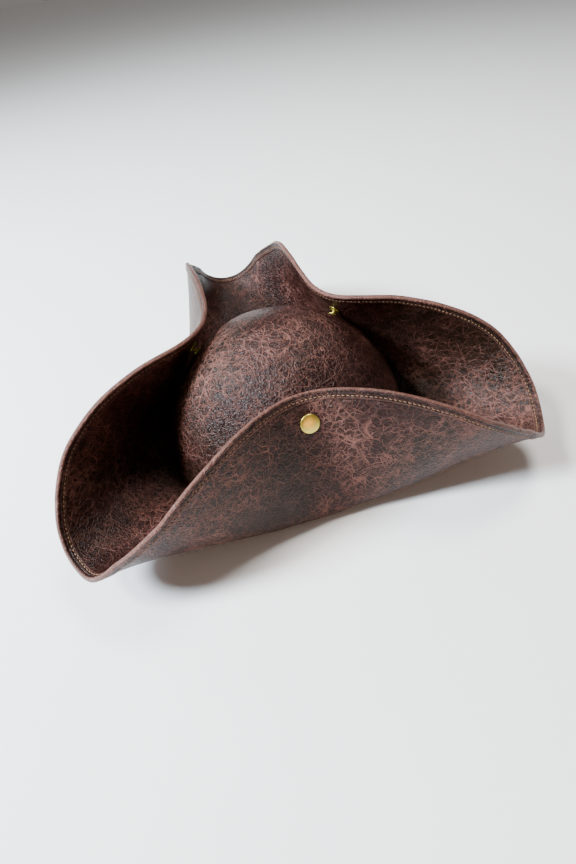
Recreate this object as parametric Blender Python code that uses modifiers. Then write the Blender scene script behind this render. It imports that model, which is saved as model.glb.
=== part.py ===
"""A tricorn pirate hat of distressed faux leather: a moulded crown in a brim turned up on three sides.

Each turned-up side is a flap that snaps to the crown. It swings down about the line between its two
corners' tips, which is the one line that a stiff edge between those tips can turn about. Metres and degrees. +Z is up, and +Y is the corner opposite the rear flap. The origin is the middle of
the head opening, in the plane that the hat stands on.
"""

import math

import bmesh
import bpy
import numpy as np
from mathutils import Matrix, Vector

# Crown, a half ellipsoid
CROWN_HALF_WIDTH = 0.1025
CROWN_HALF_DEPTH = 0.094
CROWN_HEIGHT = 0.1140
LEATHER = 0.0020  # the crown's wall and the brim's sheet
GAP = 0.0003  # between pieces that touch
CROWN_SEGMENTS = 48
CROWN_RINGS = 9

# What the crown holds
LINING_OFFSET = 0.0016  # from the crown's wall, room for the backs of the snaps
LINING = 0.0008
SWEATBAND_OFFSET = 0.0014  # from the lining
SWEATBAND = 0.0012
SWEATBAND_HEIGHT = 0.032
LIP = 0.0080  # flat ring of the brim inside the crown's foot, under the wall, lining and sweatband

# Brim, laid out from lines that run outward from the crown's foot, one for each plan angle
SIDE_DIRECTIONS = {"rear": -90, "right": 30, "left": 150}  # in order round the crown
FOLD_DISTANCE = {"rear": 0.1035, "right": 0.1105, "left": 0.1105}  # flat, from the centre to the fold
SIDE_RADIUS = {"rear": 0.2050, "right": 0.2270, "left": 0.2270}  # flat, from the centre to the edge
LEAN = {"rear": 108.4, "right": 111.4, "left": 111.4}  # a side's slope at its middle, above the fold
CORNER_DIRECTIONS = {"front": 90, "rear_left": 210, "rear_right": -30}
CORNER_RADIUS = {"front": 0.2210, "rear_left": 0.2090, "rear_right": 0.2090}
HALF_SIDE = 60.0  # from a side's middle to a corner
FOLD_AT_HALF = 0.1040  # the fold's flat distance halfway to a corner
FOLD_AT_CORNER = 0.0900
FOOT_SLOPE = 19.0  # the brim's rise just outside the crown, and along each corner's ridge
LEAN_SHARES = (1.0, 0.90, 0.74, 0.49, 0.0)  # of LEAN, at even steps from a side's middle to a corner
FOLD_LENGTHS = (0.016, 0.048, 0.115)  # how much sheet the fold takes, at the middle, halfway and corner
CURLS = (120.0, 30.0, 0.0)  # further turn above the fold, degrees per metre, at the same places
RIDGE_POWER = 9  # how closely the sheet's rounding keeps to the corners' ridges
LINE_STEPS = 161

# Flaps: the part of each side above this height, cut free there
CUT_HEIGHT = 0.0350  # at the side's middle
CUT_HEIGHT_AT_CORNER = {"front": 0.0410, "rear_left": 0.0350, "rear_right": 0.0350}
FLAP_LEAST = 0.0095  # a flap's least width, at its ends
FLAP_END = 56.0  # from the side's middle to the flap's end
CUT_GAP = 0.4  # degrees, between a flap's end and the corner beside it
END_RELIEF = 0.0025  # the base is cut back this far at each end of a flap

# The brim's edge: a strip folded over a wire
BINDING_WIDTH = 0.0070
BINDING_WALL = 0.0006
WIRE_RADIUS = 0.0007
CHANNEL_GAP = 0.0005  # between the strip and each face of the sheet

# Snap fasteners
SNAP_BELOW_EDGE = {"rear": 0.022, "right": 0.026, "left": 0.026}
CAP_RADIUS = 0.0072
CAP_HEIGHT = 0.0019
CAP_STANDOFF = 0.0011  # over the curved sheet
POST_RADIUS = 0.0015
POST_HOLE_RADIUS = 0.0020
SOCKET_RADIUS = 0.0050
SOCKET_HEIGHT = 0.0017
SOCKET_BORE = 0.0024
SOCKET_FLOOR = 0.0005
STUD_BASE_RADIUS = 0.0040
STUD_BASE_HEIGHT = 0.0007
KNOB_RADIUS = 0.0016
KNOB_HEIGHT = 0.0020
EYELET_RADIUS = 0.0038
EYELET_HEIGHT = 0.0006
SNAP_SEGMENTS = 16

# Mesh densities
FLAP_COLUMNS = 29
FLAP_ROWS = 8
BASE_COLUMNS_PER_CORNER = 5
BASE_ROWS = 10
ROW_CROWDING = 1.3  # above 1, the base's rows crowd towards the crown
CUT_ROW = 0.0008  # a row this far from each cut edge keeps the edge's face square to the sheet

COLOURS = {
    "leather": ((0.075, 0.035, 0.028), 0.45, 0.0),
    "lining": ((0.02, 0.018, 0.018), 0.85, 0.0),
    "sweatband": ((0.03, 0.022, 0.018), 0.7, 0.0),
    "brass": ((0.72, 0.55, 0.24), 0.3, 1.0),
    "wire": ((0.45, 0.45, 0.45), 0.35, 1.0),
}


def clear_scene():
    for obj in list(bpy.data.objects):
        bpy.data.objects.remove(obj, do_unlink=True)


def collection(name):
    made = bpy.data.collections.new(name)
    bpy.context.scene.collection.children.link(made)
    return made


def material(name):
    colour, roughness, metallic = COLOURS[name]
    made = bpy.data.materials.new(name)
    made.use_nodes = True
    shader = made.node_tree.nodes["Principled BSDF"]
    shader.inputs["Base Color"].default_value = (*colour, 1.0)
    shader.inputs["Roughness"].default_value = roughness
    shader.inputs["Metallic"].default_value = metallic
    return made


# ---- the brim's surface ----


def ease(x):
    x = np.clip(x, 0.0, 1.0)
    return x * x * (3.0 - 2.0 * x)


def through(share, values):
    """A smooth curve through evenly spaced values, level at both ends."""
    values = np.asarray(values, float)
    last = len(values) - 1
    slopes = np.gradient(values)
    slopes[0] = slopes[last] = 0.0
    place = min(max(share, 0.0), 1.0) * last
    i = min(int(place), last - 1)
    t = place - i
    start = (1 + 2 * t) * (1 - t) ** 2 * values[i] + t * (1 - t) ** 2 * slopes[i]
    end = t * t * (3 - 2 * t) * values[i + 1] + t * t * (t - 1) * slopes[i + 1]
    return start + end


def turn_from(direction, plan):
    return (plan - direction + 180.0) % 360.0 - 180.0


def nearest(directions, plan):
    return min(directions, key=lambda name: abs(turn_from(directions[name], plan)))


def crown_radius(plan):
    """The crown's plan radius at its foot, at this plan angle."""
    angle = math.radians(plan)
    across = CROWN_HALF_DEPTH * math.cos(angle)
    along = CROWN_HALF_WIDTH * math.sin(angle)
    return CROWN_HALF_WIDTH * CROWN_HALF_DEPTH / math.hypot(across, along)


def share_of(side, plan):
    return abs(turn_from(SIDE_DIRECTIONS[side], plan)) / HALF_SIDE


def edge_distance(plan):
    """How far the sheet runs from the crown's foot to its edge, along its surface."""
    side = nearest(SIDE_DIRECTIONS, plan)
    corner = nearest(CORNER_DIRECTIONS, plan)
    share = ease(share_of(side, plan))
    flat = SIDE_RADIUS[side] + (CORNER_RADIUS[corner] - SIDE_RADIUS[side]) * share
    return flat - crown_radius(plan)


def slopes_along(side, plan, distances):
    """The sheet's slope, in radians, at these distances from the crown's foot."""
    share = share_of(side, plan)
    turn = math.radians(HALF_SIDE * share)
    near = FOLD_DISTANCE[side] + (FOLD_AT_HALF - FOLD_DISTANCE[side]) * ease(2 * share)
    far = FOLD_AT_HALF + (FOLD_AT_CORNER - FOLD_AT_HALF) * ease(2 * share - 1)
    fold = (near if share < 0.5 else far) / math.cos(turn) - crown_radius(plan)
    length = through(share, FOLD_LENGTHS)
    start = max(fold - length / 2, 0.0)
    lean = LEAN[side] * through(share, LEAN_SHARES) + FOOT_SLOPE * ease(2 * share - 1)
    curl = through(share, CURLS) * np.maximum(distances - start - length, 0.0)
    return np.radians(FOOT_SLOPE + (lean - FOOT_SLOPE) * ease((distances - start) / length) + curl)


def brim_line(plan):
    """(distances, points) down the sheet's middle surface, from the crown's foot to the edge."""
    side = nearest(SIDE_DIRECTIONS, plan)
    middle = math.radians(SIDE_DIRECTIONS[side])
    turn = math.radians(turn_from(SIDE_DIRECTIONS[side], plan))
    angle = math.radians(plan)
    outward = np.array([math.cos(middle), math.sin(middle), 0.0])
    chord = np.array([-math.sin(middle), math.cos(middle), 0.0])
    radial = np.array([math.cos(angle), math.sin(angle), 0.0])
    up = np.array([0.0, 0.0, 1.0])
    distances = np.linspace(0.0, edge_distance(plan), LINE_STEPS)
    slope = slopes_along(side, plan, distances)[:, None]
    folded = math.cos(turn) * (np.cos(slope) * outward + np.sin(slope) * up) + math.sin(turn) * chord
    ridge = np.cos(slope) * radial + np.sin(slope) * up
    ridge_share = ease(share_of(side, plan)) ** RIDGE_POWER
    heading = (1 - ridge_share) * folded + ridge_share * ridge
    heading /= np.linalg.norm(heading, axis=1)[:, None]
    steps = (heading[1:] + heading[:-1]) / 2 * (distances[1] - distances[0])
    foot = radial * crown_radius(plan) + up * LEATHER / 2
    return distances, foot + np.vstack([np.zeros(3), np.cumsum(steps, axis=0)])


def brim_points(plan, distances):
    """Points of the middle surface; a distance below 0 lies on the flat lip inside the crown's foot."""
    known, points = brim_line(plan)
    radial = np.array([math.cos(math.radians(plan)), math.sin(math.radians(plan)), 0.0])
    found = np.stack([np.interp(distances, known, points[:, axis]) for axis in range(3)], axis=1)
    return found + np.minimum(distances, 0.0)[:, None] * radial


def brim_normal(plan, distance):
    """The sheet's unit normal on its upper, inner side."""
    aside = 0.2
    ahead = 0.0005
    across = brim_points(plan + aside, np.array([distance]))[0] - brim_points(plan - aside, np.array([distance]))[0]
    along = brim_points(plan, np.array([distance - ahead, distance]))
    normal = np.cross(along[1] - along[0], across)
    return normal / np.linalg.norm(normal)


def cut_distance(side, plan):
    """Where a flap is cut free, as a distance from the crown's foot."""
    at_corner = CUT_HEIGHT_AT_CORNER[nearest(CORNER_DIRECTIONS, plan)]
    height = CUT_HEIGHT + (at_corner - CUT_HEIGHT) * ease(share_of(side, plan))
    distances, points = brim_line(plan)
    return min(float(np.interp(height, points[:, 2], distances)), distances[-1] - FLAP_LEAST)


# ---- shapes ----


def mesh_object(name, vertices, faces, group, finish, edges=()):
    data = bpy.data.meshes.new(name)
    data.from_pydata([tuple(vertex) for vertex in vertices], list(edges), faces)
    work = bmesh.new()
    work.from_mesh(data)
    bmesh.ops.recalc_face_normals(work, faces=work.faces)
    work.to_mesh(data)
    work.free()
    made = bpy.data.objects.new(name, data)
    made.data.materials.append(finish)
    group.objects.link(made)
    return made


def lofted_sheet(name, columns, ring, group, finish):
    """A sheet of LEATHER's thickness on a grid of points, one list of points for each column."""
    rows = len(columns[0])
    vertices = [point for column in columns for point in column]
    faces = []
    for i in range(len(columns) if ring else len(columns) - 1):
        j = (i + 1) % len(columns)
        for row in range(rows - 1):
            faces.append((i * rows + row, i * rows + row + 1, j * rows + row + 1, j * rows + row))
    made = mesh_object(name, vertices, faces, group, finish)
    thicken = made.modifiers.new("Solidify", "SOLIDIFY")
    thicken.thickness = LEATHER
    thicken.offset = 0.0
    thicken.use_even_offset = True
    return made


def lofted_strip(name, sections, group, finish):
    """A closed solid through a row of closed sections, capped at both ends."""
    count = len(sections[0])
    vertices = [point for section in sections for point in section]
    faces = [tuple(range(count)), tuple(range(len(vertices) - count, len(vertices)))[::-1]]
    for i in range(len(sections) - 1):
        for k in range(count):
            m = (k + 1) % count
            faces.append((i * count + k, i * count + m, (i + 1) * count + m, (i + 1) * count + k))
    return mesh_object(name, vertices, faces, group, finish)


def turned(name, profile, closed, segments, group, finish):
    """A profile of (radius, height) points turned about Z; an open one starts and ends on the axis."""
    vertices = [(radius, 0.0, height) for radius, height in profile]
    edges = [(i, i + 1) for i in range(len(profile) - 1)]
    if closed:
        edges.append((len(profile) - 1, 0))
    made = mesh_object(name, vertices, [], group, finish, edges)
    screw = made.modifiers.new("Screw", "SCREW")
    screw.steps = screw.render_steps = segments
    screw.use_merge_vertices = True
    screw.merge_threshold = 0.00001
    screw.use_normal_flip = True
    return made


def cut_with(target, cutter):
    cutter.hide_render = True
    cutter.display_type = "WIRE"
    cut = target.modifiers.new("Boolean", "BOOLEAN")
    cut.operation = "DIFFERENCE"
    cut.solver = "EXACT"
    cut.object = cutter


def rod(name, start, direction, radius, length, group):
    """A cylinder cutter that reaches length each way from start."""
    bpy.ops.mesh.primitive_cylinder_add(vertices=SNAP_SEGMENTS, radius=radius, depth=2 * length)
    made = bpy.context.active_object
    made.name = name
    made.matrix_world = placed(start, direction)
    for holder in list(made.users_collection):
        holder.objects.unlink(made)
    group.objects.link(made)
    return made


def placed(point, direction):
    """The matrix that puts a piece made along +Z at this point, along this direction."""
    turn = Vector(direction).to_track_quat("Z", "Y").to_matrix().to_4x4()
    return Matrix.Translation(Vector(point)) @ turn


# ---- crown ----


def dome_profile(shrink, foot):
    """(radius, height) points of the crown's ellipsoid made smaller by shrink, from its foot to its top."""
    radius = CROWN_HALF_WIDTH - shrink
    height = CROWN_HEIGHT - shrink
    low = math.asin(foot / height)
    angles = np.linspace(low, math.pi / 2, CROWN_RINGS)
    return [(radius * math.cos(a) if a < math.pi / 2 else 0.0, height * math.sin(a)) for a in angles]


def dome(name, outer_shrink, thickness, foot, group, finish):
    outer = dome_profile(outer_shrink, foot)
    inner = dome_profile(outer_shrink + thickness, foot)
    made = turned(name, inner[::-1] + outer, False, CROWN_SEGMENTS, group, finish)
    made.scale.y = CROWN_HALF_DEPTH / CROWN_HALF_WIDTH
    return made


def sweatband(group, finish):
    foot = LEATHER + GAP
    outside = LEATHER + LINING_OFFSET + LINING + SWEATBAND_OFFSET
    heights = (foot, foot + SWEATBAND_HEIGHT / 2, foot + SWEATBAND_HEIGHT)
    outer = [(band_radius(outside, z), z) for z in heights]
    inner = [(band_radius(outside + SWEATBAND, z), z) for z in heights]
    made = turned("sweatband", outer + inner[::-1], True, CROWN_SEGMENTS, group, finish)
    made.scale.y = CROWN_HALF_DEPTH / CROWN_HALF_WIDTH
    return made


def band_radius(shrink, height):
    radius = CROWN_HALF_WIDTH - shrink
    return radius * math.sqrt(1.0 - (height / (CROWN_HEIGHT - shrink)) ** 2)


def crown_contact(point):
    """(point, outward normal) where the crown's outside is nearest to this point, to first order."""
    axes = Vector((CROWN_HALF_WIDTH, CROWN_HALF_DEPTH, CROWN_HEIGHT))
    place = Vector(point)
    for _ in range(20):
        scaled = Vector(place[i] / axes[i] for i in range(3))
        level = scaled.length
        slope = Vector(scaled[i] / axes[i] for i in range(3)) / level
        place -= slope * (level - 1.0) / slope.length_squared
    return place, slope.normalized()


# ---- brim ----


def brim_base(group, finish):
    """The ring round the crown with its three corners, out to the flaps' cut lines."""
    columns = []
    for side, direction in SIDE_DIRECTIONS.items():
        for turn in np.linspace(-FLAP_END, FLAP_END, FLAP_COLUMNS):
            plan = direction + turn
            back = END_RELIEF if abs(turn) == FLAP_END else GAP / 2
            columns.append(base_column(plan, cut_distance(side, plan) - back))
        for turn in np.linspace(FLAP_END + CUT_GAP, 2 * HALF_SIDE - FLAP_END - CUT_GAP, BASE_COLUMNS_PER_CORNER):
            plan = direction + turn
            columns.append(base_column(plan, edge_distance(plan) - sheet_inset()))
    return lofted_sheet("brim_base", columns, True, group, finish)


def base_column(plan, reach):
    """Points from the lip's inner edge to reach, with two on the flat lip."""
    shares = np.linspace(0.0, 1.0, BASE_ROWS - 2) ** ROW_CROWDING
    return brim_points(plan, np.concatenate([[-LIP], (reach - CUT_ROW) * shares, [reach]]))


def sheet_inset():
    """From the brim's edge in to the edge of the sheet, past the binding's wall and the wire."""
    return BINDING_WALL + 2 * GAP + 2 * WIRE_RADIUS


def wire_inset():
    return BINDING_WALL + GAP + WIRE_RADIUS


def flap(side, group, finish):
    columns = []
    for turn in np.linspace(-FLAP_END, FLAP_END, FLAP_COLUMNS):
        plan = SIDE_DIRECTIONS[side] + turn
        start = cut_distance(side, plan) + GAP / 2
        end = edge_distance(plan) - sheet_inset()
        outer = np.linspace(start + CUT_ROW, end, FLAP_ROWS - 1)
        columns.append(brim_points(plan, np.concatenate([[start], outer])))
    return lofted_sheet(side + "_flap", columns, False, group, finish)


def binding_section(plan):
    """The folded strip's section at the brim's edge: a U open towards the crown."""
    edge = edge_distance(plan)
    rim, inside = brim_points(plan, np.array([edge, edge - BINDING_WIDTH]))
    outward = (rim - inside) / np.linalg.norm(rim - inside)
    normal = brim_normal(plan, edge)
    half_channel = LEATHER / 2 + CHANNEL_GAP
    half = half_channel + BINDING_WALL
    outline = (
        (-BINDING_WIDTH, half),
        (-half / 2, half),
        (0.0, half / 2),
        (0.0, -half / 2),
        (-half / 2, -half),
        (-BINDING_WIDTH, -half),
        (-BINDING_WIDTH, -half_channel),
        (-BINDING_WALL, -half_channel),
        (-BINDING_WALL, half_channel),
        (-BINDING_WIDTH, half_channel),
    )
    return [rim + outward * u + normal * v for u, v in outline]


def binding(name, plans, group, finish):
    return lofted_strip(name, [binding_section(plan) for plan in plans], group, finish)


def wire(name, plans, group, finish):
    data = bpy.data.curves.new(name, "CURVE")
    data.dimensions = "3D"
    data.bevel_depth = WIRE_RADIUS
    data.bevel_resolution = 1
    data.use_fill_caps = True
    spline = data.splines.new("POLY")
    spline.points.add(len(plans) - 1)
    for point, plan in zip(spline.points, plans):
        place = brim_points(plan, np.array([edge_distance(plan) - wire_inset()]))[0]
        point.co = (*place, 1.0)
    made = bpy.data.objects.new(name, data)
    data.materials.append(finish)
    group.objects.link(made)
    return made


# ---- snap fasteners ----


def snap_place(side):
    """(point on the sheet's middle surface, unit normal towards the crown)."""
    plan = SIDE_DIRECTIONS[side]
    distance = edge_distance(plan) - SNAP_BELOW_EDGE[side]
    return brim_points(plan, np.array([distance]))[0], brim_normal(plan, distance)


def snap_cap(side, group, finish):
    """The domed cap on the flap's outside, with its post through the sheet."""
    base = LEATHER / 2 + CAP_STANDOFF
    rim = CAP_HEIGHT * 0.45
    profile = [
        (0.0, -LEATHER / 2),
        (POST_RADIUS, -LEATHER / 2),
        (POST_RADIUS, base),
        (CAP_RADIUS * 0.92, base),
        (CAP_RADIUS, base + rim * 0.4),
        (CAP_RADIUS * 0.98, base + rim),
        (CAP_RADIUS * 0.90, base + rim * 1.25),
        (CAP_RADIUS * 0.80, base + rim * 1.05),
        (CAP_RADIUS * 0.45, base + CAP_HEIGHT * 0.85),
        (0.0, base + CAP_HEIGHT),
    ]
    point, normal = snap_place(side)
    made = turned(side + "_snap_cap", profile, False, SNAP_SEGMENTS, group, finish)
    made.matrix_world = placed(point, -normal)
    return made


def snap_socket(side, group, finish):
    """The socket on the flap's inside, its bore towards the crown."""
    base = LEATHER / 2 + GAP
    top = base + SOCKET_HEIGHT
    profile = [
        (0.0, base),
        (SOCKET_RADIUS, base),
        (SOCKET_RADIUS, base + SOCKET_HEIGHT * 0.5),
        (SOCKET_RADIUS * 0.85, top),
        (SOCKET_BORE, top),
        (SOCKET_BORE, base + SOCKET_FLOOR),
        (0.0, base + SOCKET_FLOOR),
    ]
    point, normal = snap_place(side)
    made = turned(side + "_snap_socket", profile, False, SNAP_SEGMENTS, group, finish)
    made.matrix_world = placed(point, normal)
    return made


def snap_stud(side, group, finish):
    """The stud on the crown's outside, whose knob stands in the socket's bore."""
    top = GAP + STUD_BASE_HEIGHT
    profile = [
        (0.0, GAP),
        (STUD_BASE_RADIUS, GAP),
        (STUD_BASE_RADIUS, top),
        (KNOB_RADIUS * 0.8, top),
        (KNOB_RADIUS, top + KNOB_HEIGHT * 0.6),
        (KNOB_RADIUS * 0.7, top + KNOB_HEIGHT),
        (0.0, top + KNOB_HEIGHT),
    ]
    point, normal = crown_contact(snap_place(side)[0])
    made = turned(side + "_snap_stud", profile, False, SNAP_SEGMENTS, group, finish)
    made.matrix_world = placed(point, normal)
    return made


def snap_eyelet(side, group, finish):
    """The stud's back, inside the crown, with its post through the wall."""
    face = LEATHER + 2 * GAP
    profile = [
        (0.0, GAP),
        (POST_RADIUS, GAP),
        (POST_RADIUS, face),
        (EYELET_RADIUS, face),
        (EYELET_RADIUS, face + EYELET_HEIGHT),
        (0.0, face + EYELET_HEIGHT),
    ]
    point, normal = crown_contact(snap_place(side)[0])
    made = turned(side + "_snap_eyelet", profile, False, SNAP_SEGMENTS, group, finish)
    made.matrix_world = placed(point, -normal)
    return made


# ---- hinges ----


def hinge_place(side):
    """(point, axis): along the chord, level with the cut edge's lowest point and out at its outermost."""
    middle = math.radians(SIDE_DIRECTIONS[side])
    outward = np.array([math.cos(middle), math.sin(middle), 0.0])
    cut_edge = []
    for turn in np.linspace(-FLAP_END, FLAP_END, FLAP_COLUMNS):
        plan = SIDE_DIRECTIONS[side] + turn
        distance = cut_distance(side, plan)
        place = brim_points(plan, np.array([distance]))[0]
        cut_edge.append(place - brim_normal(plan, distance) * LEATHER / 2)
    reach = max(place @ outward for place in cut_edge)
    lowest = min(place[2] for place in cut_edge)
    point = Vector((*(outward[:2] * reach), lowest))
    return point, Vector((-math.sin(middle), math.cos(middle), 0.0))


def hang_on_hinge(side, pieces, group):
    point, _ = hinge_place(side)
    pivot = bpy.data.objects.new(side + "_hinge", None)
    pivot.location = point
    group.objects.link(pivot)
    for piece in pieces:
        piece.parent = pivot
        piece.matrix_parent_inverse = Matrix.Translation(-point)


def main():
    clear_scene()
    hat = collection("pirate_hat")
    cutters = collection("cutters")
    finishes = {name: material(name) for name in COLOURS}
    leather, brass, steel = finishes["leather"], finishes["brass"], finishes["wire"]
    crown_foot = LEATHER + GAP
    crown = dome("crown", 0.0, LEATHER, crown_foot, hat, leather)
    dome("crown_lining", LEATHER + LINING_OFFSET, LINING, crown_foot, hat, finishes["lining"])
    sweatband(hat, finishes["sweatband"])
    brim_base(hat, leather)
    for side, direction in SIDE_DIRECTIONS.items():
        sheet = flap(side, hat, leather)
        edge_plans = direction + np.linspace(-FLAP_END, FLAP_END, FLAP_COLUMNS)
        pieces = [
            sheet,
            binding(side + "_binding", edge_plans, hat, leather),
            wire(side + "_edge_wire", edge_plans, hat, steel),
            snap_cap(side, hat, brass),
            snap_socket(side, hat, brass),
        ]
        snap_stud(side, hat, brass)
        snap_eyelet(side, hat, brass)
        point, normal = snap_place(side)
        cut_with(sheet, rod(side + "_flap_hole", point, normal, POST_HOLE_RADIUS, 2 * LEATHER, cutters))
        contact, outward = crown_contact(point)
        cut_with(crown, rod(side + "_crown_hole", contact, outward, POST_HOLE_RADIUS, 2 * LEATHER, cutters))
        hang_on_hinge(side, pieces, hat)
    half_corner = HALF_SIDE - FLAP_END - CUT_GAP
    for corner, direction in CORNER_DIRECTIONS.items():
        edge_plans = direction + np.linspace(-half_corner, half_corner, BASE_COLUMNS_PER_CORNER)
        binding(corner + "_corner_binding", edge_plans, hat, leather)
        wire(corner + "_corner_wire", edge_plans, hat, steel)


main()
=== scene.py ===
"""The looks of a tricorn pirate hat of distressed faux leather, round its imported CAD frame.

The brim is one curved sheet laid out by the same formula as the CAD part: lines run outward from the
crown's foot, one for each plan angle, and each follows a slope that turns up at the fold. Every piece of
the brim is placed on that sheet by a plan angle, a distance along the sheet and a height above it.
Metres and degrees. +Y is the front corner, and the rear side faces -Y.
"""

import math

import bpy
import numpy as np
from mathutils import Matrix, Vector


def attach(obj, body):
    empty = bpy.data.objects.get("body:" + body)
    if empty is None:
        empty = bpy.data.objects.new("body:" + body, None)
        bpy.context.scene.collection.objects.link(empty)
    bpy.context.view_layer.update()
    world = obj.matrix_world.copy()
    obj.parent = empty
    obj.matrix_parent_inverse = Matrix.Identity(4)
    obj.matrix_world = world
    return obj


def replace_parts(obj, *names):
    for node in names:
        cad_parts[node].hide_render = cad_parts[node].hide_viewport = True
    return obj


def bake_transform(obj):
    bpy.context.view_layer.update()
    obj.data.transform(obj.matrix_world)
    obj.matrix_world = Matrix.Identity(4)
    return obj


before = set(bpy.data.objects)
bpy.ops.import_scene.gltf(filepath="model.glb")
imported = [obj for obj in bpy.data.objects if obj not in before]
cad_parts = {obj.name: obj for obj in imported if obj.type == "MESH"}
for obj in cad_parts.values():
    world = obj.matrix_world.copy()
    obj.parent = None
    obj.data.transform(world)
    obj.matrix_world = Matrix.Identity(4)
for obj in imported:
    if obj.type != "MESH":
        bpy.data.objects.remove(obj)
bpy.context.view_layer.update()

# Crown, a half ellipsoid, as in the CAD part
CROWN_HALF_WIDTH = 0.1025
CROWN_HALF_DEPTH = 0.094
CROWN_HEIGHT = 0.1140
LEATHER = 0.0020
LINING_OFFSET = 0.0016
LINING = 0.0008
SWEATBAND_OFFSET = 0.0014
SWEATBAND_HEIGHT = 0.032
CROWN_SQUASH = CROWN_HALF_DEPTH / CROWN_HALF_WIDTH
LIP = 0.0080  # the brim's flat ring inside the crown's foot
LIP_OVERLAP = 0.0010
LIP_ROUND = 0.0005
SWEATBAND_WALL = 0.0012
SWEATBAND_FOOT = 0.0026
SWEATBAND_RIB = 0.00012
SWEATBAND_RIBS = 11
LINING_FOOT = 0.0025
WEAVE_RADIUS = 0.095  # turns angles round the crown into lengths, for the weaves

# Brim, as in the CAD part
SIDE_DIRECTIONS = {"rear": -90, "right": 30, "left": 150}
FOLD_DISTANCE = {"rear": 0.1035, "right": 0.1105, "left": 0.1105}
SIDE_RADIUS = {"rear": 0.2050, "right": 0.2270, "left": 0.2270}
LEAN = {"rear": 108.4, "right": 111.4, "left": 111.4}
CORNER_DIRECTIONS = {"front": 90, "rear_left": 210, "rear_right": -30}
CORNER_RADIUS = {"front": 0.2210, "rear_left": 0.2090, "rear_right": 0.2090}
HALF_SIDE = 60.0
FOLD_AT_HALF = 0.1040
FOLD_AT_CORNER = 0.0900
FOOT_SLOPE = 19.0
LEAN_SHARES = (1.0, 0.90, 0.74, 0.49, 0.0)
FOLD_LENGTHS = (0.016, 0.048, 0.115)
CURLS = (120.0, 30.0, 0.0)
RIDGE_POWER = 9
CORNER_AFTER_SIDE = {"rear": "rear_right", "right": "front", "left": "rear_left"}
SNAP_BELOW_EDGE = {"rear": 0.022, "right": 0.026, "left": 0.026}

# Mesh densities
LINE_STEPS = 181
SHEET_COLUMNS = 151
COLUMN_CROWDING = 0.30  # 0 is even; above it, columns crowd towards the corners
SHEET_ROWS = 76
CROWN_SEGMENTS = 192
CROWN_RINGS = 72

# Folded edge strip: distances back from the brim's edge
BEAD = 0.0015  # the wire under the fold
STRIP_WIDTH = 0.0072
STRIP_WALL = 0.0007
STITCH_BACK = 0.0050
STITCH_PITCH = 0.0031
STITCH_LENGTH = 0.0023
THREAD = 0.00032
THREAD_SIDES = 6
STITCH_SEAT = 0.0003  # how deep a stitch starts in the strip
# (share of the length, lift off the seat, girth) along one stitch
STITCH_SHAPE = (
    (-0.5, -0.0002, 0.5),
    (-0.32, 0.0002, 0.9),
    (0.0, 0.0003, 1.0),
    (0.32, 0.0002, 0.9),
    (0.5, -0.0002, 0.5),
)

# Snap fasteners
CAP_RADIUS = 0.0070
CAP_SEAT = 0.0006
SOCKET_RADIUS = 0.0050
SOCKET_SEAT = 0.0003
SNAP_SEGMENTS = 64
EYELET_RADIUS = 0.0036
EYELET_DEPTH = 0.0026  # its face's depth under the crown's outside

# Studio: each lamp is (name, place, diameter, power, colour)
FLOOR_RADIUS = 6.0
FLOOR_SEGMENTS = 96
WORLD_COLOUR = (1.0, 0.94, 0.88, 1.0)
WORLD_STRENGTH = 0.20
LAMPS = (
    ("key", (-0.90, 0.05, 1.35), 0.26, 26.0, (1.0, 0.96, 0.90)),
    ("window", (-1.20, 0.02, 1.02), 0.36, 76.0, (0.80, 0.90, 1.0)),
    ("overhead", (0.42, 0.36, 1.45), 0.50, 22.0, (1.0, 0.97, 0.93)),
    ("sky", (-0.90, 1.15, 0.95), 0.60, 10.0, (0.76, 0.88, 1.0)),
    ("bounce", (0.10, -1.05, 0.26), 0.34, 1.8, (1.0, 0.44, 0.16)),
)
LAMP_AIM = (0.0, 0.0, 0.05)

# Camera: close over the rear left of the hat, with a wide lens, as the photo was taken
CAMERA_AZIMUTH = -11.2
CAMERA_ELEVATION = 46.9
CAMERA_ROLL = -8.45
CAMERA_TARGET = (-0.0021, -0.0059, 0.0030)
CAMERA_DISTANCE = 0.429
LENS = 20.0
SENSOR_WIDTH = 36.0

UP = np.array([0.0, 0.0, 1.0])


# ---- the brim's surface, as in the CAD part ----


def ease(x):
    x = np.clip(x, 0.0, 1.0)
    return x * x * (3.0 - 2.0 * x)


def through(share, values):
    """A smooth curve through evenly spaced values, level at both ends."""
    values = np.asarray(values, float)
    last = len(values) - 1
    slopes = np.gradient(values)
    slopes[0] = slopes[last] = 0.0
    place = min(max(share, 0.0), 1.0) * last
    i = min(int(place), last - 1)
    t = place - i
    start = (1 + 2 * t) * (1 - t) ** 2 * values[i] + t * (1 - t) ** 2 * slopes[i]
    end = t * t * (3 - 2 * t) * values[i + 1] + t * t * (t - 1) * slopes[i + 1]
    return start + end


def turn_from(direction, plan):
    return (plan - direction + 180.0) % 360.0 - 180.0


def nearest(directions, plan):
    return min(directions, key=lambda name: abs(turn_from(directions[name], plan)))


def crown_radius(plan):
    angle = math.radians(plan)
    across = CROWN_HALF_DEPTH * math.cos(angle)
    along = CROWN_HALF_WIDTH * math.sin(angle)
    return CROWN_HALF_WIDTH * CROWN_HALF_DEPTH / math.hypot(across, along)


def edge_distance(side, plan):
    """How far the sheet runs from the crown's foot to its edge, along its surface."""
    corner = nearest(CORNER_DIRECTIONS, plan)
    share = ease(abs(turn_from(SIDE_DIRECTIONS[side], plan)) / HALF_SIDE)
    flat = SIDE_RADIUS[side] + (CORNER_RADIUS[corner] - SIDE_RADIUS[side]) * share
    return flat - crown_radius(plan)


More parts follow.
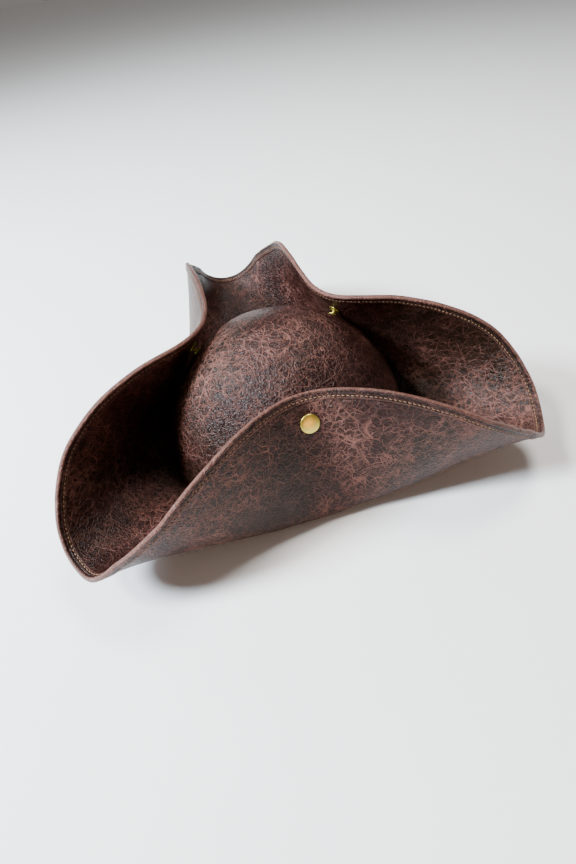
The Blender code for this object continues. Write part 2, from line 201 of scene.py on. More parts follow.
def slopes_along(side, plan, distances):
    """The sheet's slope, in radians, at these distances from the crown's foot."""
    share = abs(turn_from(SIDE_DIRECTIONS[side], plan)) / HALF_SIDE
    turn = math.radians(HALF_SIDE * share)
    near = FOLD_DISTANCE[side] + (FOLD_AT_HALF - FOLD_DISTANCE[side]) * ease(2 * share)
    far = FOLD_AT_HALF + (FOLD_AT_CORNER - FOLD_AT_HALF) * ease(2 * share - 1)
    fold = (near if share < 0.5 else far) / math.cos(turn) - crown_radius(plan)
    length = through(share, FOLD_LENGTHS)
    start = max(fold - length / 2, 0.0)
    lean = LEAN[side] * through(share, LEAN_SHARES) + FOOT_SLOPE * ease(2 * share - 1)
    curl = through(share, CURLS) * np.maximum(distances - start - length, 0.0)
    return np.radians(FOOT_SLOPE + (lean - FOOT_SLOPE) * ease((distances - start) / length) + curl)


def brim_line(side, plan):
    """(distances, points) down the sheet's middle surface, from the crown's foot to the edge."""
    middle = math.radians(SIDE_DIRECTIONS[side])
    turn = math.radians(turn_from(SIDE_DIRECTIONS[side], plan))
    angle = math.radians(plan)
    outward = np.array([math.cos(middle), math.sin(middle), 0.0])
    chord = np.array([-math.sin(middle), math.cos(middle), 0.0])
    radial = np.array([math.cos(angle), math.sin(angle), 0.0])
    distances = np.linspace(0.0, edge_distance(side, plan), LINE_STEPS)
    slope = slopes_along(side, plan, distances)[:, None]
    folded = math.cos(turn) * (np.cos(slope) * outward + np.sin(slope) * UP) + math.sin(turn) * chord
    ridge = np.cos(slope) * radial + np.sin(slope) * UP
    ridge_share = ease(abs(math.degrees(turn)) / HALF_SIDE) ** RIDGE_POWER
    heading = (1 - ridge_share) * folded + ridge_share * ridge
    heading /= np.linalg.norm(heading, axis=1)[:, None]
    steps = (heading[1:] + heading[:-1]) / 2 * (distances[1] - distances[0])
    foot = radial * crown_radius(plan) + UP * LEATHER / 2
    return distances, foot + np.vstack([np.zeros(3), np.cumsum(steps, axis=0)])


def unevenness(points):
    """A slight waviness, as leather has that was pressed and handled."""
    x, y, z = points[..., 0], points[..., 1], points[..., 2]
    slow = np.sin(61 * x + 23 * z + 0.8) * np.sin(53 * y - 31 * z + 2.1)
    quick = np.sin(127 * x - 83 * y + 1.3) * np.sin(109 * y + 97 * z + 0.4)
    return 0.00055 * slow + 0.00022 * quick


class Brim:
    """Every line of one side of the brim, with its normals, sampled closely."""

    def __init__(self, side):
        shares = np.linspace(-1.0, 1.0, SHEET_COLUMNS)
        turns = HALF_SIDE * ((1 + COLUMN_CROWDING) * shares - COLUMN_CROWDING * shares**3)
        self.side = side
        self.plans = SIDE_DIRECTIONS[side] + turns
        # One line past each ridge, from the next side, so that the normals run on across the ridge.
        before = 2 * self.plans[0] - self.plans[1]
        after = 2 * self.plans[-1] - self.plans[-2]
        lines = [self.line_across(before)]
        lines += [brim_line(side, plan) for plan in self.plans]
        lines += [self.line_across(after)]
        points = np.array([line[1] for line in lines])
        along = np.gradient(points, axis=1)
        across = np.gradient(points, axis=0)
        normals = np.cross(along, across)
        normals /= np.linalg.norm(normals, axis=2)[:, :, None]
        # Towards the crown, as in the CAD part: up on the flat stretch.
        normals *= np.sign(np.median(normals[:, 0, 2]))
        self.points = points[1:-1]
        self.normals = normals[1:-1]
        self.lengths = np.array([line[0][-1] for line in lines[1:-1]])

    def line_across(self, plan):
        return brim_line(nearest(SIDE_DIRECTIONS, plan), plan)

    def at(self, distances, height):
        """Points this high over the middle surface at one distance for each line, run on past its edge."""
        place = distances / self.lengths * (LINE_STEPS - 1)
        low = np.clip(place.astype(int), 0, LINE_STEPS - 2)
        t = (place - low)[:, None]
        rows = np.arange(len(self.plans))
        start, end = self.points[rows, low], self.points[rows, low + 1]
        normal = self.normals[rows, low] * (1 - t) + self.normals[rows, low + 1] * t
        normal /= np.linalg.norm(normal, axis=1)[:, None]
        place = start + (end - start) * t
        return place + normal * (height + unevenness(place))[:, None], normal

    def back_from_edge(self, back, height):
        return self.at(self.lengths - back, height)

    def snap(self):
        """(point, normal towards the crown) where the snap goes through the sheet."""
        middle = SHEET_COLUMNS // 2
        points, normals = self.back_from_edge(SNAP_BELOW_EDGE[self.side], 0.0)
        return Vector(points[middle]), Vector(normals[middle])


# ---- mesh helpers ----


def mesh_object(name, vertices, faces, finish):
    data = bpy.data.meshes.new(name)
    data.from_pydata([tuple(map(float, vertex)) for vertex in vertices], [], faces)
    for polygon in data.polygons:
        polygon.use_smooth = True
    made = bpy.data.objects.new(name, data)
    data.materials.append(finish)
    bpy.context.scene.collection.objects.link(made)
    keep_rest(made)
    return made


def keep_rest(made):
    """Every vertex keeps its resting place, so that patterns stay on the leather when a side swings."""
    data = made.data
    places = np.empty(len(data.vertices) * 3, np.float32)
    data.vertices.foreach_get("co", places)
    world = np.array(made.matrix_world)
    places = places.reshape(-1, 3) @ world[:3, :3].T + world[:3, 3]
    rest = data.attributes.new("rest", "FLOAT_VECTOR", "POINT")
    rest.data.foreach_set("vector", places.astype(np.float32).ravel())


def grid_faces(columns, rows):
    """Quads over a grid whose columns go round the crown and whose rows start outward on the upper face."""
    faces = []
    for i in range(columns - 1):
        for row in range(rows - 1):
            here, beyond = i * rows + row, (i + 1) * rows + row
            faces.append((here, here + 1, beyond + 1, beyond))
    return faces


def set_normals(made, normals):
    made.data.normals_split_custom_set_from_vertices([tuple(map(float, n)) for n in normals])


def turned(name, profile, segments, finish, squash=1.0):
    """A profile of (radius, height) points turned about Z; an end on the axis is closed to one point."""
    vertices = []
    rings = []
    for radius, height in profile:
        if radius < 1e-7:
            rings.append([len(vertices)])
            vertices.append((0.0, 0.0, height))
            continue
        rings.append(list(range(len(vertices), len(vertices) + segments)))
        for k in range(segments):
            angle = 2 * math.pi * k / segments
            vertices.append((radius * math.cos(angle), squash * radius * math.sin(angle), height))
    faces = []
    for low, high in zip(rings, rings[1:]):
        for k in range(segments):
            m = (k + 1) % segments
            if len(low) == 1:
                faces.append((low[0], high[m], high[k]))
            elif len(high) == 1:
                faces.append((low[k], low[m], high[0]))
            else:
                faces.append((low[k], low[m], high[m], high[k]))
    return mesh_object(name, vertices, faces, finish)


def put(made, point, direction):
    """Moves a piece made along +Z to this point, along this direction."""
    turn = Vector(direction).to_track_quat("Z", "Y").to_matrix().to_4x4()
    made.data.transform(Matrix.Translation(Vector(point)) @ turn)
    made.data.attributes.remove(made.data.attributes["rest"])
    keep_rest(made)
    return made


def smooth_through(points, steps):
    """Many points on a smooth curve through a few (radius, height) points."""
    points = np.array(points, float)
    dense = []
    for i in range(len(points) - 1):
        a, b = points[i], points[i + 1]
        before = points[max(i - 1, 0)]
        after = points[min(i + 2, len(points) - 1)]
        for t in np.linspace(0.0, 1.0, steps, endpoint=False):
            start_slope, end_slope = (b - before) / 2, (after - a) / 2
            dense.append(
                (1 + 2 * t) * (1 - t) ** 2 * a
                + t * (1 - t) ** 2 * start_slope
                + t * t * (3 - 2 * t) * b
                + t * t * (t - 1) * end_slope
            )
    dense.append(points[-1])
    return [tuple(point) for point in dense]


# ---- materials ----


class Nodes:
    """Short names for the shader nodes that the materials use."""

    def __init__(self, name):
        self.material = bpy.data.materials.new(name)
        self.material.use_nodes = True
        self.tree = self.material.node_tree
        self.shader = self.tree.nodes["Principled BSDF"]

    def add(self, kind, **settings):
        node = self.tree.nodes.new(kind)
        for key, value in settings.items():
            setattr(node, key, value)
        return node

    def join(self, value, socket):
        if isinstance(value, bpy.types.NodeSocket):
            self.tree.links.new(value, socket)
        else:
            socket.default_value = value

    def math(self, operation, a, b=0.0, clamp=False):
        node = self.add("ShaderNodeMath", operation=operation, use_clamp=clamp)
        self.join(a, node.inputs[0])
        self.join(b, node.inputs[1])
        return node.outputs[0]

    def between(self, value, low, high):
        """0 at low and 1 at high, eased; high may be the lower number."""
        node = self.add("ShaderNodeMapRange", interpolation_type="SMOOTHSTEP")
        self.join(value, node.inputs["Value"])
        self.join(min(low, high), node.inputs["From Min"])
        self.join(max(low, high), node.inputs["From Max"])
        self.join(0.0 if low < high else 1.0, node.inputs["To Min"])
        self.join(1.0 if low < high else 0.0, node.inputs["To Max"])
        return node.outputs["Result"]

    def scaled(self, value, low, high):
        node = self.add("ShaderNodeMapRange")
        self.join(value, node.inputs["Value"])
        self.join(low, node.inputs["To Min"])
        self.join(high, node.inputs["To Max"])
        return node.outputs["Result"]

    def blend(self, share, a, b):
        node = self.add("ShaderNodeMix", data_type="RGBA")
        self.join(share, node.inputs["Factor"])
        self.join(a, node.inputs["A"])
        self.join(b, node.inputs["B"])
        return node.outputs["Result"]

    def vector(self, operation, a, b):
        node = self.add("ShaderNodeVectorMath", operation=operation)
        self.join(a, node.inputs[0])
        if operation == "SCALE":
            self.join(b, node.inputs["Scale"])
        else:
            self.join(b, node.inputs[1])
        return node.outputs[0]

    def rest(self):
        return self.add("ShaderNodeAttribute", attribute_name="rest").outputs["Vector"]

    def noise(self, place, scale, detail=2.0, roughness=0.5, distortion=0.0, colour=False):
        node = self.add("ShaderNodeTexNoise")
        self.join(place, node.inputs["Vector"])
        self.join(scale, node.inputs["Scale"])
        self.join(detail, node.inputs["Detail"])
        self.join(roughness, node.inputs["Roughness"])
        self.join(distortion, node.inputs["Distortion"])
        return node.outputs["Color" if colour else "Fac"]

    def cells(self, place, scale, feature="DISTANCE_TO_EDGE"):
        node = self.add("ShaderNodeTexVoronoi", feature=feature)
        self.join(place, node.inputs["Vector"])
        self.join(scale, node.inputs["Scale"])
        return node.outputs["Distance"]

    def warped(self, place, scale, reach, shift=(0.0, 0.0, 0.0)):
        """The place moved about by noise, up to reach each way, after a fixed shift."""
        moved = self.vector("ADD", place, shift)
        push = self.vector("SUBTRACT", self.noise(moved, scale, 2.0, colour=True), (0.5, 0.5, 0.5))
        return self.vector("ADD", moved, self.vector("SCALE", push, 2.0 * reach))

    def bump(self, height, strength, distance):
        node = self.add("ShaderNodeBump")
        self.join(height, node.inputs["Height"])
        self.join(strength, node.inputs["Strength"])
        self.join(distance, node.inputs["Distance"])
        return node.outputs["Normal"]

    def set(self, **values):
        for name, value in values.items():
            self.join(value, self.shader.inputs[name.replace("_", " ")])


def rgb(red, green, blue):
    return (red, green, blue, 1.0)


def crackle(n, place, cells_per_metre, width, wobble, shift):
    """Thin branching lines round wavering cells: 1 on a line."""
    moved = n.warped(place, cells_per_metre * 0.9, wobble, shift)
    return n.between(n.cells(moved, cells_per_metre), width * cells_per_metre, 0.0)


def strands(n, place, cells_per_metre, width, turn, shift):
    """Long thin lines that run roughly one way: crackle over cells drawn out along it."""
    drawn = n.add("ShaderNodeMapping", vector_type="TEXTURE")
    n.join(place, drawn.inputs["Vector"])
    n.join(shift, drawn.inputs["Location"])
    n.join(turn, drawn.inputs["Rotation"])
    n.join((1.0, 3.6, 2.0), drawn.inputs["Scale"])
    return crackle(n, drawn.outputs["Vector"], cells_per_metre, width, 0.0016, shift)


def distressed_leather(name, edge=False):
    n = Nodes(name)
    place = n.rest()
    patches = n.noise(place, 17.0, 3.0, 0.6)
    clouds = n.noise(n.vector("ADD", place, (0.3, 0.1, 0.7)), 42.0, 3.0, 0.6)

    wide = crackle(n, place, 62.0, 0.00040, 0.0048, (0.11, 0.52, 0.23))
    middle = crackle(n, place, 150.0, 0.00030, 0.0018, (0.71, 0.32, 0.43))
    fine = crackle(n, place, 340.0, 0.00024, 0.0009, (0.21, 0.92, 0.13))
    first_way = strands(n, place, 150.0, 0.00028, (0.4, 0.3, 0.7), (0.5, 0.2, 0.9))
    second_way = strands(n, place, 170.0, 0.00028, (-0.5, 0.9, -0.6), (0.9, 0.7, 0.1))
    third_way = strands(n, place, 240.0, 0.00026, (1.1, -0.6, 1.9), (0.3, 0.6, 0.4))

    broken = n.between(n.noise(place, 210.0, 2.0, 0.6), 0.40, 0.58)
    broken_wide = n.between(n.noise(n.vector("ADD", place, (0.4, 0.4, 0.1)), 95.0, 2.0, 0.6), 0.36, 0.60)
    dense = n.between(patches, 0.42, 0.60)
    worn = n.between(clouds, 0.46, 0.66)

    lines = n.math("MULTIPLY", wide, n.scaled(broken_wide, 0.25, 1.0))
    lines = n.math("MAXIMUM", lines, n.math("MULTIPLY", middle, n.scaled(broken_wide, 0.05, 0.95)))
    lines = n.math("MAXIMUM", lines, n.math("MULTIPLY", first_way, n.scaled(broken_wide, 0.0, 0.9)))
    lines = n.math("MAXIMUM", lines, n.math("MULTIPLY", second_way, n.scaled(broken_wide, 0.9, 0.0)))
    fine_lines = n.math("MULTIPLY", n.math("MAXIMUM", fine, third_way), broken)
    fine_lines = n.math("MULTIPLY", fine_lines, n.scaled(dense, 0.14, 0.80))
    lines = n.math("MAXIMUM", lines, fine_lines)
    lines = n.math("MULTIPLY", lines, n.scaled(n.between(patches, 0.36, 0.62), 0.30, 1.0))

    tone = n.between(n.noise(n.vector("ADD", place, (0.6, 0.8, 0.2)), 9.0, 2.0, 0.5), 0.42, 0.58)
    deep = n.blend(tone, rgb(0.0062, 0.0012, 0.0009), rgb(0.0056, 0.0028, 0.0014))
    dark = n.blend(patches, deep, n.blend(tone, rgb(0.0165, 0.0036, 0.0026), rgb(0.0145, 0.0074, 0.0040)))
    ground = n.blend(n.math("MULTIPLY", worn, 0.40), dark, rgb(0.034, 0.0105, 0.0075))
    speckle = n.between(n.noise(place, 900.0, 2.0, 0.7), 0.52, 0.75)
    ground = n.blend(n.math("MULTIPLY", speckle, 0.16), ground, rgb(0.060, 0.024, 0.018))
    line_colour = n.blend(clouds, rgb(0.140, 0.040, 0.028), rgb(0.275, 0.135, 0.108))
    colour = n.blend(n.math("MULTIPLY", lines, 0.80), ground, line_colour)
    if edge:
        wear = n.add("ShaderNodeAttribute", attribute_name="wear").outputs["Fac"]
        rubbed = n.math("MULTIPLY", wear, n.scaled(n.noise(place, 160.0, 3.0, 0.7), 0.1, 1.1), clamp=True)
        colour = n.blend(rubbed, colour, rgb(0.200, 0.092, 0.072))
        # Painted shade: the stitch line and the strip's creases are darkened nearly to black.
        crease_shade = n.add("ShaderNodeAttribute", attribute_name="crease_shade").outputs["Fac"]
        colour = n.blend(n.math("MULTIPLY", crease_shade, 0.75), colour, rgb(0.006, 0.003, 0.003))

    grain = n.cells(n.warped(place, 500.0, 0.0005), 760.0, "F1")
    wrinkles = n.noise(n.warped(place, 200.0, 0.0015), 420.0, 3.0, 0.6, 0.5)
    relief = n.math("ADD", n.math("MULTIPLY", grain, 0.5), n.math("MULTIPLY", wrinkles, 1.4))
    relief = n.math("SUBTRACT", relief, n.math("MULTIPLY", lines, 0.35))
    normal = n.bump(relief, 1.0, 0.00075)
    rough = n.scaled(n.noise(place, 320.0, 3.0, 0.6), 0.24, 0.40)
    rough = n.math("ADD", rough, n.math("MULTIPLY", lines, 0.16), clamp=True)
    n.set(Base_Color=colour, Roughness=rough, Normal=normal, Specular_IOR_Level=0.20)
    return n.material


def brass():
    n = Nodes("satin_brass")
    place = n.rest()
    brushed = n.noise(place, 2600.0, 3.0, 0.6)
    tarnish = n.between(n.noise(place, 420.0, 3.0, 0.6), 0.45, 0.75)
    colour = n.blend(tarnish, rgb(0.560, 0.480, 0.105), rgb(0.440, 0.360, 0.075))
    n.set(Base_Color=colour, Metallic=1.0)
    n.set(Roughness=n.scaled(brushed, 0.26, 0.44), Normal=n.bump(brushed, 0.25, 0.00005))
    return n.material


def woven(name, dark, light, threads_per_metre, sheen):
    """Plain weave, from two sets of threads at right angles round and up the crown."""
    n = Nodes(name)
    place = n.rest()
    split = n.add("ShaderNodeSeparateXYZ")
    n.join(n.warped(place, 90.0, 0.0006), split.inputs[0])
    x, y, z = split.outputs
    turn_per_metre = 2 * math.pi * threads_per_metre
    round_ways = n.math("MULTIPLY", n.math("ARCTAN2", y, x), WEAVE_RADIUS)
    over = n.math("SINE", n.math("MULTIPLY", round_ways, turn_per_metre))
    across = n.math("SINE", n.math("MULTIPLY", z, turn_per_metre))
    weave = n.scaled(n.math("MULTIPLY", over, across), 0.5, 1.0)
    height = n.math("MAXIMUM", n.math("ABSOLUTE", over), n.math("ABSOLUTE", across))
    colour = n.blend(n.math("MULTIPLY", weave, n.noise(place, 150.0, 2.0), clamp=True), dark, light)
    n.set(Base_Color=colour, Roughness=n.scaled(height, 0.95, 0.78), Normal=n.bump(height, 0.6, 0.0002))
    n.set(Sheen_Weight=sheen, Sheen_Roughness=0.5)
    return n.material


def thread_finish():
    n = Nodes("waxed_thread")
    place = n.rest()
    twist = n.noise(place, 3200.0, 1.0)
    colour = n.blend(n.noise(place, 60.0, 2.0), rgb(0.090, 0.042, 0.022), rgb(0.330, 0.190, 0.100))
    n.set(Base_Color=colour, Roughness=n.scaled(twist, 0.42, 0.62), Normal=n.bump(twist, 0.5, 0.0001))
    return n.material


def floor_finish():
    n = Nodes("pale_floor")
    place = n.add("ShaderNodeTexCoord").outputs["Object"]
    colour = n.blend(n.noise(place, 6.0, 3.0), rgb(0.90, 0.90, 0.90), rgb(0.93, 0.93, 0.93))
    n.set(Base_Color=colour, Roughness=0.85)
    return n.material


# ---- the brim ----


def swing(made):
    """Bakes the piece's placement into its mesh."""
    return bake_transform(made)


def brim_sheet(brim, finish):
    """One side's sheet, from ridge to ridge, with its two faces and the edge between them."""
    shares = np.linspace(0.0, 1.0, SHEET_ROWS)
    end = brim.lengths - BEAD
    faces_out = []
    normals_out = []
    for height, sign in ((LEATHER / 2, 1), (-LEATHER / 2, -1)):
        for share in shares if sign > 0 else shares[::-1]:
            points, normals = brim.at(end * share, height)
            faces_out.append(points)
            normals_out.append(normals * sign)
    rows = len(faces_out)
    vertices = np.stack(faces_out, axis=1).reshape(-1, 3)
    normals = np.stack(normals_out, axis=1).reshape(-1, 3)
    faces = grid_faces(len(brim.plans), rows)
    made = mesh_object(brim.side + "_brim_sheet", vertices, faces, finish)
    set_normals(made, normals)
    return swing(made)


def strip_section():
    """(distance back from the edge, height over the middle surface, wear, painted shade) round the folded
    strip.
    """
    half = LEATHER / 2
    top = half + STRIP_WALL
    # The last number in each row is painted shade: darkest in the stitch line and the strip's creases, where
    # shade falls.
    one_face = [
        (STRIP_WIDTH, half - 0.0001, 0.0, 0.9),
        (STRIP_WIDTH - 0.0001, top - 0.0002, 0.35, 0.0),
        (STRIP_WIDTH - 0.0005, top + 0.0001, 0.55, 0.0),
        (STITCH_BACK + 0.0010, top + 0.0001, 0.15, 0.0),
        (STITCH_BACK + 0.0005, top - 0.0002, 0.0, 0.5),
        (STITCH_BACK, top - 0.0004, 0.0, 0.9),
        (STITCH_BACK - 0.0005, top - 0.0002, 0.0, 0.5),
        (STITCH_BACK - 0.0010, top + 0.0001, 0.10, 0.0),
        (0.0034, top, 0.0, 0.2),
        (0.0030, top - 0.0002, 0.0, 0.6),
        (0.0026, top - 0.0003, 0.0, 0.9),
        (0.0021, top, 0.0, 0.3),
        (0.0014, top + 0.0002, 0.10, 0.0),
        (0.0007, top, 0.45, 0.0),
        (0.0002, half + 0.0002, 0.90, 0.0),
        (0.0000, half * 0.40, 0.90, 0.0),
    ]
    other_face = [(back, -height, wear * 0.8, crease_shade) for back, height, wear, crease_shade in one_face[::-1]]
    return one_face + other_face


def edge_strip(brim, finish):
    section = strip_section()
    rings = [brim.back_from_edge(back, height)[0] for back, height, _, _ in section]
    vertices = np.stack(rings, axis=1).reshape(-1, 3)
    faces = grid_faces(len(brim.plans), len(section))
    made = mesh_object(brim.side + "_folded_edge", vertices, faces, finish)
    # wear lightens the rubbed ridges; the second attribute carries the painted shade in the creases.
    for name, place in (("wear", 2), ("crease_shade", 3)):
        values = made.data.attributes.new(name, "FLOAT", "POINT")
        values.data.foreach_set("value", np.tile([row[place] for row in section], len(brim.plans)))
    return swing(made)


def stitch_rings(path, normal):
    """The corners of each ring of thread along one stitch."""
    ahead = path[-1] - path[0]
    ahead /= np.linalg.norm(ahead)
    aside = np.cross(normal, ahead)
    corners = []
    for point, (_, lift, girth) in zip(path, STITCH_SHAPE):
        for k in range(THREAD_SIDES):
            angle = 2 * math.pi * k / THREAD_SIDES
            ring = math.cos(angle) * aside + math.sin(angle) * normal
            corners.append(point + normal * lift + ring * THREAD * girth)
    return corners


def stitch_faces(first):
    """The faces of a stitch whose corners start at this number, with both its ends closed."""
    faces = []
    for i in range(len(STITCH_SHAPE) - 1):
        start = first + THREAD_SIDES * i
        end = start + THREAD_SIDES
        for k in range(THREAD_SIDES):
            m = (k + 1) % THREAD_SIDES
            faces.append((start + k, start + m, end + m, end + k))
    last = first + THREAD_SIDES * (len(STITCH_SHAPE) - 1)
    faces.append(tuple(first + k for k in range(THREAD_SIDES))[::-1])
    faces.append(tuple(last + k for k in range(THREAD_SIDES)))
    return faces


def stitches(brim, finish):
    """A row of short thread stitches along each face of the folded edge."""
    vertices = []
    faces = []
    seat = LEATHER / 2 + STRIP_WALL - STITCH_SEAT
    for sign in (1, -1):
        row, normals = brim.back_from_edge(STITCH_BACK, sign * seat)
        steps = np.linalg.norm(np.diff(row, axis=0), axis=1)
        along = np.concatenate([[0.0], np.cumsum(steps)])
        count = int(along[-1] / STITCH_PITCH)
        for place in (np.arange(count) + 0.5) * along[-1] / count:
            ends = [place + STITCH_LENGTH * share for share, _, _ in STITCH_SHAPE]
            path = np.array([[np.interp(end, along, row[:, axis]) for axis in range(3)] for end in ends])
            normal = np.array([np.interp(place, along, normals[:, axis]) for axis in range(3)]) * sign
            faces += stitch_faces(len(vertices))
            vertices += stitch_rings(path, normal)
    made = mesh_object(brim.side + "_edge_stitches", vertices, faces, finish)
    return swing(made)


# ---- the crown ----


def crown_profile():
    """(radius, height) from the flare's end on the brim up to the top, on the crown's longer axis."""
    flare = [(0.0056, 0.0036), (0.0036, 0.0044), (0.0019, 0.0066), (0.0009, 0.0100), (0.0003, 0.0150)]
    points = [(CROWN_HALF_WIDTH + out, height) for out, height in flare]
    low = math.asin(0.021 / CROWN_HEIGHT)
    for angle in np.linspace(low, math.pi / 2, 16):
        radius = CROWN_HALF_WIDTH * math.cos(angle) if angle < math.pi / 2 - 1e-6 else 0.0
        points.append((radius, CROWN_HEIGHT * math.sin(angle)))
    return smooth_through(points, 6)


def crown(finish):
    shape = turned("crown_shell", crown_profile(), CROWN_SEGMENTS, finish, CROWN_SQUASH)
    places = np.array([vertex.co for vertex in shape.data.vertices])
    outward = places / np.linalg.norm(places, axis=1)[:, None]
    rise = ease(places[:, 2] / 0.03)
    places += outward * (unevenness(places) * rise)[:, None]
    shape.data.vertices.foreach_set("co", places.astype(np.float32).ravel())
    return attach(shape, "hat")


def band_radius(shrink, height):
    return (CROWN_HALF_WIDTH - shrink) * math.sqrt(1.0 - (height / (CROWN_HEIGHT - shrink)) ** 2)


def lining(finish):
    shrink = LEATHER + LINING_OFFSET + LINING
    top = CROWN_HEIGHT - shrink
    low = math.asin(LINING_FOOT / top)
    profile = []
    for angle in np.linspace(low, math.pi / 2, CROWN_RINGS):
        radius = (CROWN_HALF_WIDTH - shrink) * math.cos(angle) if angle < math.pi / 2 - 1e-6 else 0.0
        profile.append((radius, top * math.sin(angle)))
    shape = turned("lining_shell", profile[::-1], CROWN_SEGMENTS, finish, CROWN_SQUASH)
    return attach(shape, "hat")


def sweatband(finish):
    """The ribbed tape round the inside, rolled over at its lower edge."""
    outside = LEATHER + LINING_OFFSET + LINING + SWEATBAND_OFFSET
    foot = SWEATBAND_FOOT
    top = foot + SWEATBAND_HEIGHT
    roll = SWEATBAND_WALL / 2
    profile = []
    for share in np.linspace(1.0, 0.0, 40):
        height = foot + SWEATBAND_HEIGHT * share
        rib = SWEATBAND_RIB * math.sin(share * 2 * math.pi * SWEATBAND_RIBS)
        profile.append((band_radius(outside, height) - SWEATBAND_WALL - rib, height))
    middle = band_radius(outside, foot) - roll
    for angle in np.linspace(0.0, math.pi, 8)[1:]:
        profile.append((middle - roll * math.cos(angle), foot + roll - roll * math.sin(angle)))
    profile.append((band_radius(outside, top), top))
    profile.append(profile[0])
    shape = turned("ribbed_sweatband", profile, CROWN_SEGMENTS, finish, CROWN_SQUASH)
    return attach(shape, "hat")


def brim_lip(finish):
    """The flat ring of brim under the crown's foot."""
    outside = CROWN_HALF_WIDTH + LIP_OVERLAP
    inside = CROWN_HALF_WIDTH - LIP
    profile = [
        (outside, LEATHER),
        (inside + LIP_ROUND, LEATHER),
        (inside, LEATHER * 0.75),
        (inside, LEATHER * 0.25),
        (inside + LIP_ROUND, 0.0),
        (outside, 0.0),
    ]
    shape = turned("brim_lip", profile, CROWN_SEGMENTS, finish, CROWN_SQUASH)
    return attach(shape, "hat")


# ---- snap fasteners ----


def snap_cap(brim, finish):
    """A pressed brass cap: a low dome with a rolled rim."""
    r = CAP_RADIUS
    profile = smooth_through(
        [
            (0.0, 0.00190),
            (0.35 * r, 0.00184),
            (0.70 * r, 0.00158),
            (0.86 * r, 0.00134),
            (0.94 * r, 0.00122),
            (0.99 * r, 0.00088),
            (1.0 * r, 0.00050),
            (0.97 * r, 0.00012),
            (0.90 * r, -0.00020),
        ],
        5,
    )
    point, normal = brim.snap()
    made = turned(brim.side + "_brass_cap", profile[::-1], SNAP_SEGMENTS, finish)
    put(made, point - normal * (LEATHER / 2 + CAP_SEAT), -normal)
    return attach(made, brim.side + "_side")


def snap_socket(brim, finish):
    """The socket on the side's inner face: a low ring round the hole for the stud."""
    r = SOCKET_RADIUS
    profile = smooth_through(
        [
            (0.0, 0.0006),
            (0.44 * r, 0.0006),
            (0.46 * r, 0.0014),
            (0.50 * r, 0.0017),
            (0.60 * r, 0.0016),
            (0.72 * r, 0.0009),
            (0.88 * r, 0.0008),
            (0.97 * r, 0.0006),
            (1.0 * r, 0.0003),
            (0.97 * r, -0.0001),
        ],
        4,
    )
    point, normal = brim.snap()
    made = turned(brim.side + "_brass_socket", profile[::-1], SNAP_SEGMENTS, finish)
    put(made, point + normal * (LEATHER / 2 + SOCKET_SEAT), normal)
    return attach(made, brim.side + "_side")


def crown_contact(point):
    """(point, outward normal) where the crown's outside is nearest to this point."""
    axes = Vector((CROWN_HALF_WIDTH, CROWN_HALF_DEPTH, CROWN_HEIGHT))
    place = Vector(point)
    for _ in range(20):
        scaled = Vector(place[i] / axes[i] for i in range(3))
        level = scaled.length
        slope = Vector(scaled[i] / axes[i] for i in range(3)) / level
        place -= slope * (level - 1.0) / slope.length_squared
    return place, slope.normalized()


def snap_stud(brim, finish):
    """The stud on the crown: a waisted pin on a low round foot."""
    profile = smooth_through(
        [
            (0.0, 0.0030),
            (0.0010, 0.0030),
            (0.0016, 0.0026),
            (0.0016, 0.0021),
            (0.0012, 0.0015),
            (0.0013, 0.0010),
            (0.0030, 0.0009),
            (0.0038, 0.0006),
            (0.0040, 0.0003),
            (0.0039, -0.0003),
        ],
        4,
    )
    point, normal = crown_contact(brim.snap()[0])
    made = turned(brim.side + "_brass_stud", profile[::-1], SNAP_SEGMENTS, finish)
    put(made, point, normal)
    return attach(made, "hat")


def snap_eyelet(brim, finish):
    """The stud's back inside the crown: a flat rolled ring with a hollow middle."""
    r = EYELET_RADIUS
    profile = smooth_through(
        [
            (0.0, 0.00025),
            (0.34 * r, 0.00025),
            (0.40 * r, 0.00060),
            (0.55 * r, 0.00085),
            (0.78 * r, 0.00080),
            (0.95 * r, 0.00055),
            (1.0 * r, 0.00025),
            (0.97 * r, 0.0),
        ],
        4,
    )
    point, normal = crown_contact(brim.snap()[0])
    made = turned(brim.side + "_brass_eyelet", profile[::-1], SNAP_SEGMENTS, finish)
    put(made, point - normal * EYELET_DEPTH, -normal)
    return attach(made, "hat")


# ---- studio ----


def studio():
    bpy.ops.mesh.primitive_circle_add(vertices=FLOOR_SEGMENTS, radius=FLOOR_RADIUS, fill_type="NGON")
    floor = bpy.context.active_object
    floor.name = "floor"
    floor.data.materials.append(floor_finish())
    world = bpy.data.worlds.new("studio")
    bpy.context.scene.world = world
    world.use_nodes = True
    background = world.node_tree.nodes["Background"]
    background.inputs["Color"].default_value = WORLD_COLOUR
    background.inputs["Strength"].default_value = WORLD_STRENGTH
    for settings in LAMPS:
        lamp(*settings)


def lamp(name, place, size, power, colour):
    data = bpy.data.lights.new(name, "AREA")
    data.shape = "DISK"
    data.size = size
    data.energy = power
    data.color = colour
    made = bpy.data.objects.new(name, data)
    made.location = place
    aim = Vector(LAMP_AIM) - Vector(place)
    made.rotation_euler = aim.to_track_quat("-Z", "Y").to_euler()
    bpy.context.scene.collection.objects.link(made)


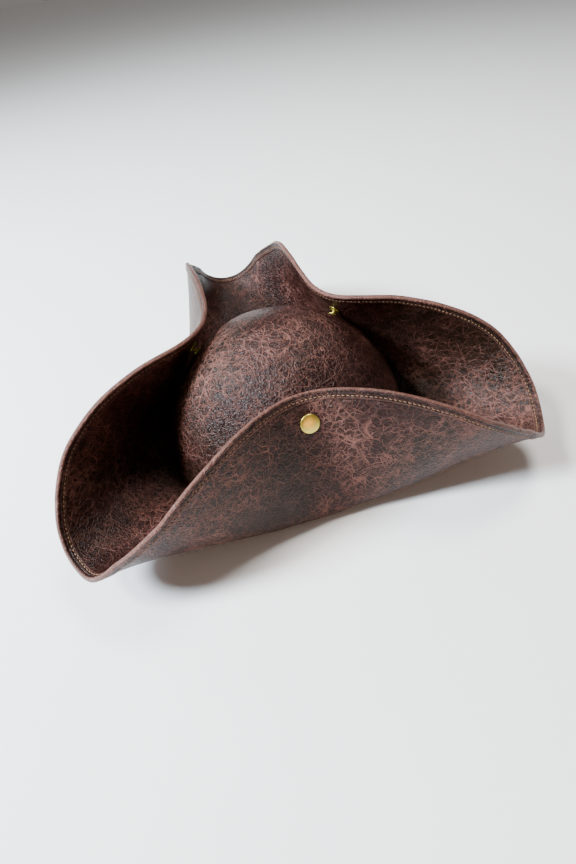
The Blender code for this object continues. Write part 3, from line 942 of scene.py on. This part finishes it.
def camera():
    azimuth = math.radians(CAMERA_AZIMUTH)
    elevation = math.radians(CAMERA_ELEVATION)
    roll = math.radians(CAMERA_ROLL)
    back_x = math.sin(azimuth) * math.cos(elevation)
    back_y = -math.cos(azimuth) * math.cos(elevation)
    back = Vector((back_x, back_y, math.sin(elevation)))
    level = Vector((math.cos(azimuth), math.sin(azimuth), 0.0))
    up = back.cross(level)
    right = math.cos(roll) * level + math.sin(roll) * up
    above = -math.sin(roll) * level + math.cos(roll) * up
    data = bpy.data.cameras.new("camera")
    data.lens = LENS
    data.sensor_width = SENSOR_WIDTH
    made = bpy.data.objects.new("camera", data)
    place = Matrix((right, above, back)).transposed().to_4x4()
    place.translation = Vector(CAMERA_TARGET) + back * CAMERA_DISTANCE
    made.matrix_world = place
    bpy.context.scene.collection.objects.link(made)
    bpy.context.scene.camera = made


def hat():
    leather = distressed_leather("distressed_leather")
    edge_leather = distressed_leather("folded_edge_leather", edge=True)
    metal = brass()
    thread = thread_finish()
    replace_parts(crown(leather), "crown")
    cloth = woven("black_lining", rgb(0.006, 0.006, 0.007), rgb(0.030, 0.028, 0.028), 900.0, 0.25)
    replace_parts(lining(cloth), "crown_lining")
    tape = woven("ribbed_tape", rgb(0.014, 0.009, 0.007), rgb(0.050, 0.034, 0.026), 1300.0, 0.2)
    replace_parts(sweatband(tape), "sweatband")
    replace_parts(brim_lip(leather), "brim_base")
    for side in SIDE_DIRECTIONS:
        brim = Brim(side)
        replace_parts(brim_sheet(brim, leather), side + "_flap")
        corner = CORNER_AFTER_SIDE[side]
        strip = edge_strip(brim, edge_leather)
        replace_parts(strip, side + "_binding", side + "_edge_wire")
        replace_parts(strip, corner + "_corner_binding", corner + "_corner_wire")
        stitches(brim, thread)
        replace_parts(snap_cap(brim, metal), side + "_snap_cap")
        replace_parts(snap_socket(brim, metal), side + "_snap_socket")
        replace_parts(snap_stud(brim, metal), side + "_snap_stud")
        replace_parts(snap_eyelet(brim, metal), side + "_snap_eyelet")


hat()
studio()
camera()
